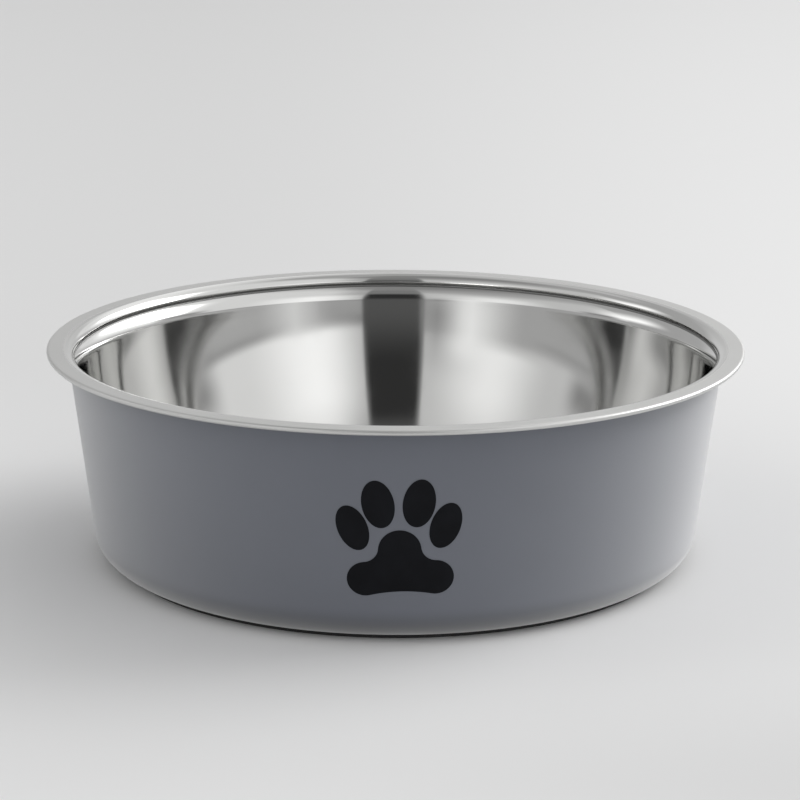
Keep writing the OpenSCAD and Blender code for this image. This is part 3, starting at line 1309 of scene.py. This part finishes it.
    def build(self) -> list[bpy.types.Object]:
        """Cuts the pad and the four toes from thin layers on the wall.

        Returns:
            The five pieces.
        """
        inner, outer = self.inner_place(), self.outer_place()
        outlines = {
            "paw_pad": self.pad_outline(),
            "toe_outer_left": self.toe_outline(self.outer_toe, outer, Side.LEFT),
            "toe_inner_left": self.toe_outline(self.inner_toe, inner, Side.LEFT),
            "toe_inner_right": self.toe_outline(self.inner_toe, inner, Side.RIGHT),
            "toe_outer_right": self.toe_outline(self.outer_toe, outer, Side.RIGHT),
        }
        for node, outline in outlines.items():
            ink = self.layer("ink_" + node)
            Workshop.cut_with(ink, self.cutter(outline), "INTERSECT")
            Workshop.smoothed(ink)
            self.pieces[node] = ink
        return list(self.pieces.values())

    def dress(self, material: bpy.types.Material) -> None:
        """Puts the ink on the five pieces and hides the model's part that each stands for.

        Args:
            material: The black ink.
        """
        for node, ink in self.pieces.items():
            Workshop.dressed(ink, material, Body.BOWL, "black_ink")
            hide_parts(node)


# Studio


@dataclass(frozen=True)
class CameraPlace:
    """The photograph's camera, aimed from in front and above at the middle of the brim."""

    focal_share: float = 2421.8 / 800
    distance: float = 700.5 * MM
    elevation: float = 13.249
    azimuth: float = -0.8
    pan: float = 0.108
    tilt: float = 1.441
    roll: float = 0.208
    sensor: float = 36.0
    clip_start: float = 0.05
    clip_end: float = 100

    @staticmethod
    def turned(a: Vector, b: Vector, angle: float) -> tuple[Vector, Vector]:
        """Turns two square directions in their own plane.

        Args:
            a: The direction that turns towards b.
            b: The direction that turns away from a.
            angle: The angle in degrees.

        Returns:
            Both directions after the turn.
        """
        cos_a, sin_a = math.cos(math.radians(angle)), math.sin(math.radians(angle))
        return a * cos_a + b * sin_a, b * cos_a - a * sin_a

    def add(self, aim_z: float) -> bpy.types.Object:
        """Adds the camera.

        Args:
            aim_z: Height of the brim's top plane.

        Returns:
            The camera object, set as the scene's camera.
        """
        e, a = math.radians(self.elevation), math.radians(self.azimuth)
        back = Vector((math.sin(a) * math.cos(e), -math.cos(a) * math.cos(e), math.sin(e)))
        right = Vector((math.cos(a), math.sin(a), 0))
        forward = -back
        up = right.cross(forward)
        up, forward = self.turned(up, forward, self.tilt)
        forward, right = self.turned(forward, right, self.pan)
        right, up = self.turned(right, up, self.roll)
        data = bpy.data.cameras.new("photo_camera")
        data.sensor_width = self.sensor
        data.lens = self.focal_share * self.sensor
        data.clip_start = self.clip_start
        data.clip_end = self.clip_end
        camera = bpy.data.objects.new("photo_camera", data)
        camera.matrix_world = Matrix((
            (right.x, up.x, -forward.x, back.x * self.distance),
            (right.y, up.y, -forward.y, back.y * self.distance),
            (right.z, up.z, -forward.z, back.z * self.distance + aim_z),
            (0, 0, 0, 1)))
        bpy.context.scene.collection.objects.link(camera)
        bpy.context.scene.camera = camera
        return camera


@dataclass(frozen=True)
class Softbox:
    """A soft area of the studio's light, by its direction from the bowl.

    Azimuth is 0 at the camera and grows to the right. The light inside the area is blended towards
    strength, and the soft widths are those of its sides, its low edge and its high edge.
    """

    azimuth: float
    half_width: float
    low: float
    high: float
    strength: float
    side_soft: float = 3.0
    low_soft: float = 1.5
    high_soft: float = 8.0

    def window(self, g: Graph, azimuth: Socket, elevation: Socket) -> Socket:
        """Masks the area.

        Args:
            g: The world's graph.
            azimuth: Azimuth of the ray in degrees.
            elevation: Elevation of the ray in degrees.

        Returns:
            1 inside the area and 0 outside it.
        """
        off = g.math("WRAP", g.math("SUBTRACT", azimuth, self.azimuth), HALF_TURN, -HALF_TURN)
        nearest, furthest = self.half_width - self.side_soft, self.half_width + self.side_soft
        aside = g.ramp(g.math("ABSOLUTE", off), nearest, furthest, 1.0, 0.0)
        rise = g.ramp(elevation, self.low - self.low_soft, self.low + self.low_soft)
        fall = g.ramp(elevation, self.high - self.high_soft, self.high + self.high_soft, 1.0, 0.0)
        return g.times(aside, g.times(rise, fall))


@dataclass(frozen=True)
class StudioFloor:
    """The pale floor, whose tone changes a little as the photograph's does.

    Left and right are judged from a viewpoint in front of the bowl, and near and far along +Y.
    """

    radius: float = 6.0
    edges: int = 96
    viewpoint: float = 0.7
    least_depth: float = 0.2
    across_span: Span = (-0.1, 0.2)
    side_span: Span = (-0.1, 0.25)
    left_tones: Span = (0.93, 0.77)
    right_tones: Span = (0.86, 0.92)
    near_span: Span = (-0.18, -0.1)
    near_share: float = 0.9
    far_span: Span = (-0.3, 3.2)
    far_share: float = 0.87

    def tone(self, g: Graph) -> Socket:
        """Adds the floor's tone, with painted light and shade in it.

        Args:
            g: The material's graph.

        Returns:
            The tone.
        """
        x, y, _ = g.split(g.place())
        depth = g.higher(g.math("ADD", y, self.viewpoint), self.least_depth)
        left = g.ramp(y, *self.side_span, *self.left_tones)
        right = g.ramp(y, *self.side_span, *self.right_tones)
        # Painted light and shade: the floor is made lighter and darker across and along it where the light
        # on it differs
        across = g.ramp(g.math("DIVIDE", x, depth), *self.across_span, left, right)
        far = g.ramp(y, *self.far_span, 1, self.far_share)
        near = g.ramp(y, *self.near_span, self.near_share, 1)
        return g.times(across, g.times(far, near))

    def build(self) -> bpy.types.Object:
        """Adds the floor, which can be seen through from below.

        Returns:
            The floor.
        """
        Workshop.clear_selection()
        bpy.ops.mesh.primitive_circle_add(
            vertices=self.edges, radius=self.radius, fill_type="NGON", location=(0, 0, 0))
        floor = bpy.context.active_object
        floor.name = "studio_floor"
        material = bpy.data.materials.new("studio_floor")
        material.use_nodes = True
        g = Graph(material.node_tree)
        matt = g.add("ShaderNodeBsdfDiffuse", {"Color": g.grey(self.tone(g))}).outputs[0]
        clear = g.add("ShaderNodeBsdfTransparent").outputs[0]
        from_below = g.add("ShaderNodeNewGeometry").outputs["Backfacing"]
        surface = g.add("ShaderNodeMixShader", {0: from_below, 1: matt, 2: clear}).outputs[0]
        g.add("ShaderNodeOutputMaterial", {"Surface": surface})
        floor.data.materials.append(material)
        return floor


@dataclass
class Studio:
    """Pale floor, soft light from all round and the camera."""

    sizes: BowlSizes
    camera: CameraPlace = CameraPlace()
    floor: StudioFloor = StudioFloor()
    surround: float = 0.5
    boxes: tuple[Softbox, ...] = (
        # Walls behind the bowl and high on the left
        Softbox(176, 26, -2, 19.5, 0.71, 8, 8, 15),
        Softbox(160, 15, -2, 19.5, 0.6, 10, 8, 15),
        Softbox(-154, 21, 44, 71, 0.66, 2, 5.5, 9),
        # Large box from the right round to the back, with three brighter stretches
        Softbox(103, 73, 6, 69, 0.69, 2, 6, 3.6),
        Softbox(84.5, 78, 8.1, 63.5, 0.94, 3, 2.4, 7.3),
        Softbox(117, 29, 12.2, 42.3, 1.45, 9, 4.4, 10.6),
        Softbox(118, 24, 19, 39, 7.0, 6, 4, 6),
        Softbox(156, 25, 27, 50, 1.18, 13, 7.3, 13),
        Softbox(13, 9, 7.3, 66, 0.54, 9.8, 2.1, 3),
        Softbox(33.4, 14.5, 9, 32.6, 1.35, 16.6, 0.9, 7.5),
        # Smaller box on the left, brightest in its middle, and a lamp behind it
        Softbox(-57, 44.7, 12.1, 43.8, 0.73, 0.6, 1.1, 7.7),
        Softbox(-41, 14.4, 13.9, 32.5, 1.17, 13.9, 1.3, 9),
        Softbox(-107, 13.6, 16.8, 29, 1.6, 10.3, 5.6, 9.9),
        Softbox(-39, 69, 59, 91, 0.32, 19, 10, 4.6),
        # Frames and stands under the two boxes
        Softbox(44, 42, 8.8, 10.3, 0.05, 9, 4.5, 1.4),
        Softbox(-80, 19.5, 9.9, 10.4, 0.33, 9, 1, 0.9),
        Softbox(39, 3.3, -13, 11.1, 1.07, 14, 0.8, 0.9),
        Softbox(-31, 8.2, 3.8, 16.4, 1.21, 14.6, 0.7, 3.3),
        Softbox(-17, 4.2, 4.3, 15.5, 0.33, 7, 4, 9.8),
        Softbox(91, 11.2, 8.4, 18.6, 0.32, 6.4, 8.2, 4.9),
        Softbox(-87, 8, 12.5, 18.5, 0.32, 5, 2, 3),
        # Dark gap between the boxes, in front
        Softbox(0, 12, -42, 63, 0.26, 0.6, 2.3, 13.7),
        Softbox(1, 11.1, -66, 27, 0.114, 0.6, 2, 13.4),
        Softbox(0, 10.8, 12.9, 36.5, 0.0375, 1, 7, 5.4),
    )

    def add_surround(self) -> None:
        """Builds the world: a grey studio with soft brighter and darker areas."""
        world = bpy.data.worlds.new("soft_studio")
        bpy.context.scene.world = world
        world.use_nodes = True
        g = Graph(world.node_tree)
        x, y, z = g.split(g.add("ShaderNodeTexCoord").outputs["Generated"])
        azimuth = g.math("DEGREES", g.math("ARCTAN2", x, g.times(y, -1.0)))
        elevation = g.math("DEGREES", g.math("ARCSINE", z))
        light: Socket | float = self.surround
        for box in self.boxes:
            window = box.window(g, azimuth, elevation)
            light = g.math("MULTIPLY_ADD", window, g.math("SUBTRACT", box.strength, light), light)
        background = g.add("ShaderNodeBackground", {"Color": g.grey(light), "Strength": 1.0})
        g.add("ShaderNodeOutputWorld", {"Surface": background.outputs[0]})

    def build(self) -> None:
        """Adds the camera, the floor and the light, and sets the plain view."""
        self.camera.add(self.sizes.bowl_h)
        self.floor.build()
        self.add_surround()
        bpy.context.scene.view_settings.view_transform = "Standard"


# The whole bowl


def main() -> None:
    """Builds the pieces in order, dresses them and sets up the studio."""
    logging.basicConfig(level=logging.INFO, format="%(name)s: %(message)s")
    sizes = BowlSizes()
    effects = SharedEffects()
    steel = PolishedSteel("polished_steel", colour=(0.66, 0.66, 0.65), roughness=0.055, metallic=1.0)
    coating = GreyCoating("grey_coating", colour=(0.101, 0.112, 0.142), roughness=0.4)
    rubber = MouldedRubber("black_rubber", colour=(0.022, 0.022, 0.022), roughness=0.72)
    compound = MouldedRubber("sealing_compound", colour=(0.2, 0.2, 0.2), roughness=0.8)
    ink = BlackInk("black_ink", colour=(0.006, 0.0065, 0.0085), roughness=0.45)

    Studio(sizes).build()
    shell = Shell(sizes)
    parts: list[tuple[Liner | Shell | FootRing | PawPrint, Finish]] = [
        (Liner(sizes), steel),
        (shell, coating),
        (FootRing(sizes, shell), rubber),
        (PawPrint(sizes), ink),
    ]
    for part, finish in parts:
        made = part.build()
        part.dress(finish.material(effects))
        for piece in made:
            log.info("%s: %d faces", piece.name, len(piece.data.polygons))
    Workshop.dressed(frame["nodes"]["rim_seal"], compound.material(effects), Body.BOWL, "sealing_compound")
    log.info("rim_seal: kept as modelled, dressed in compound")


if __name__ == "__main__":
    main()
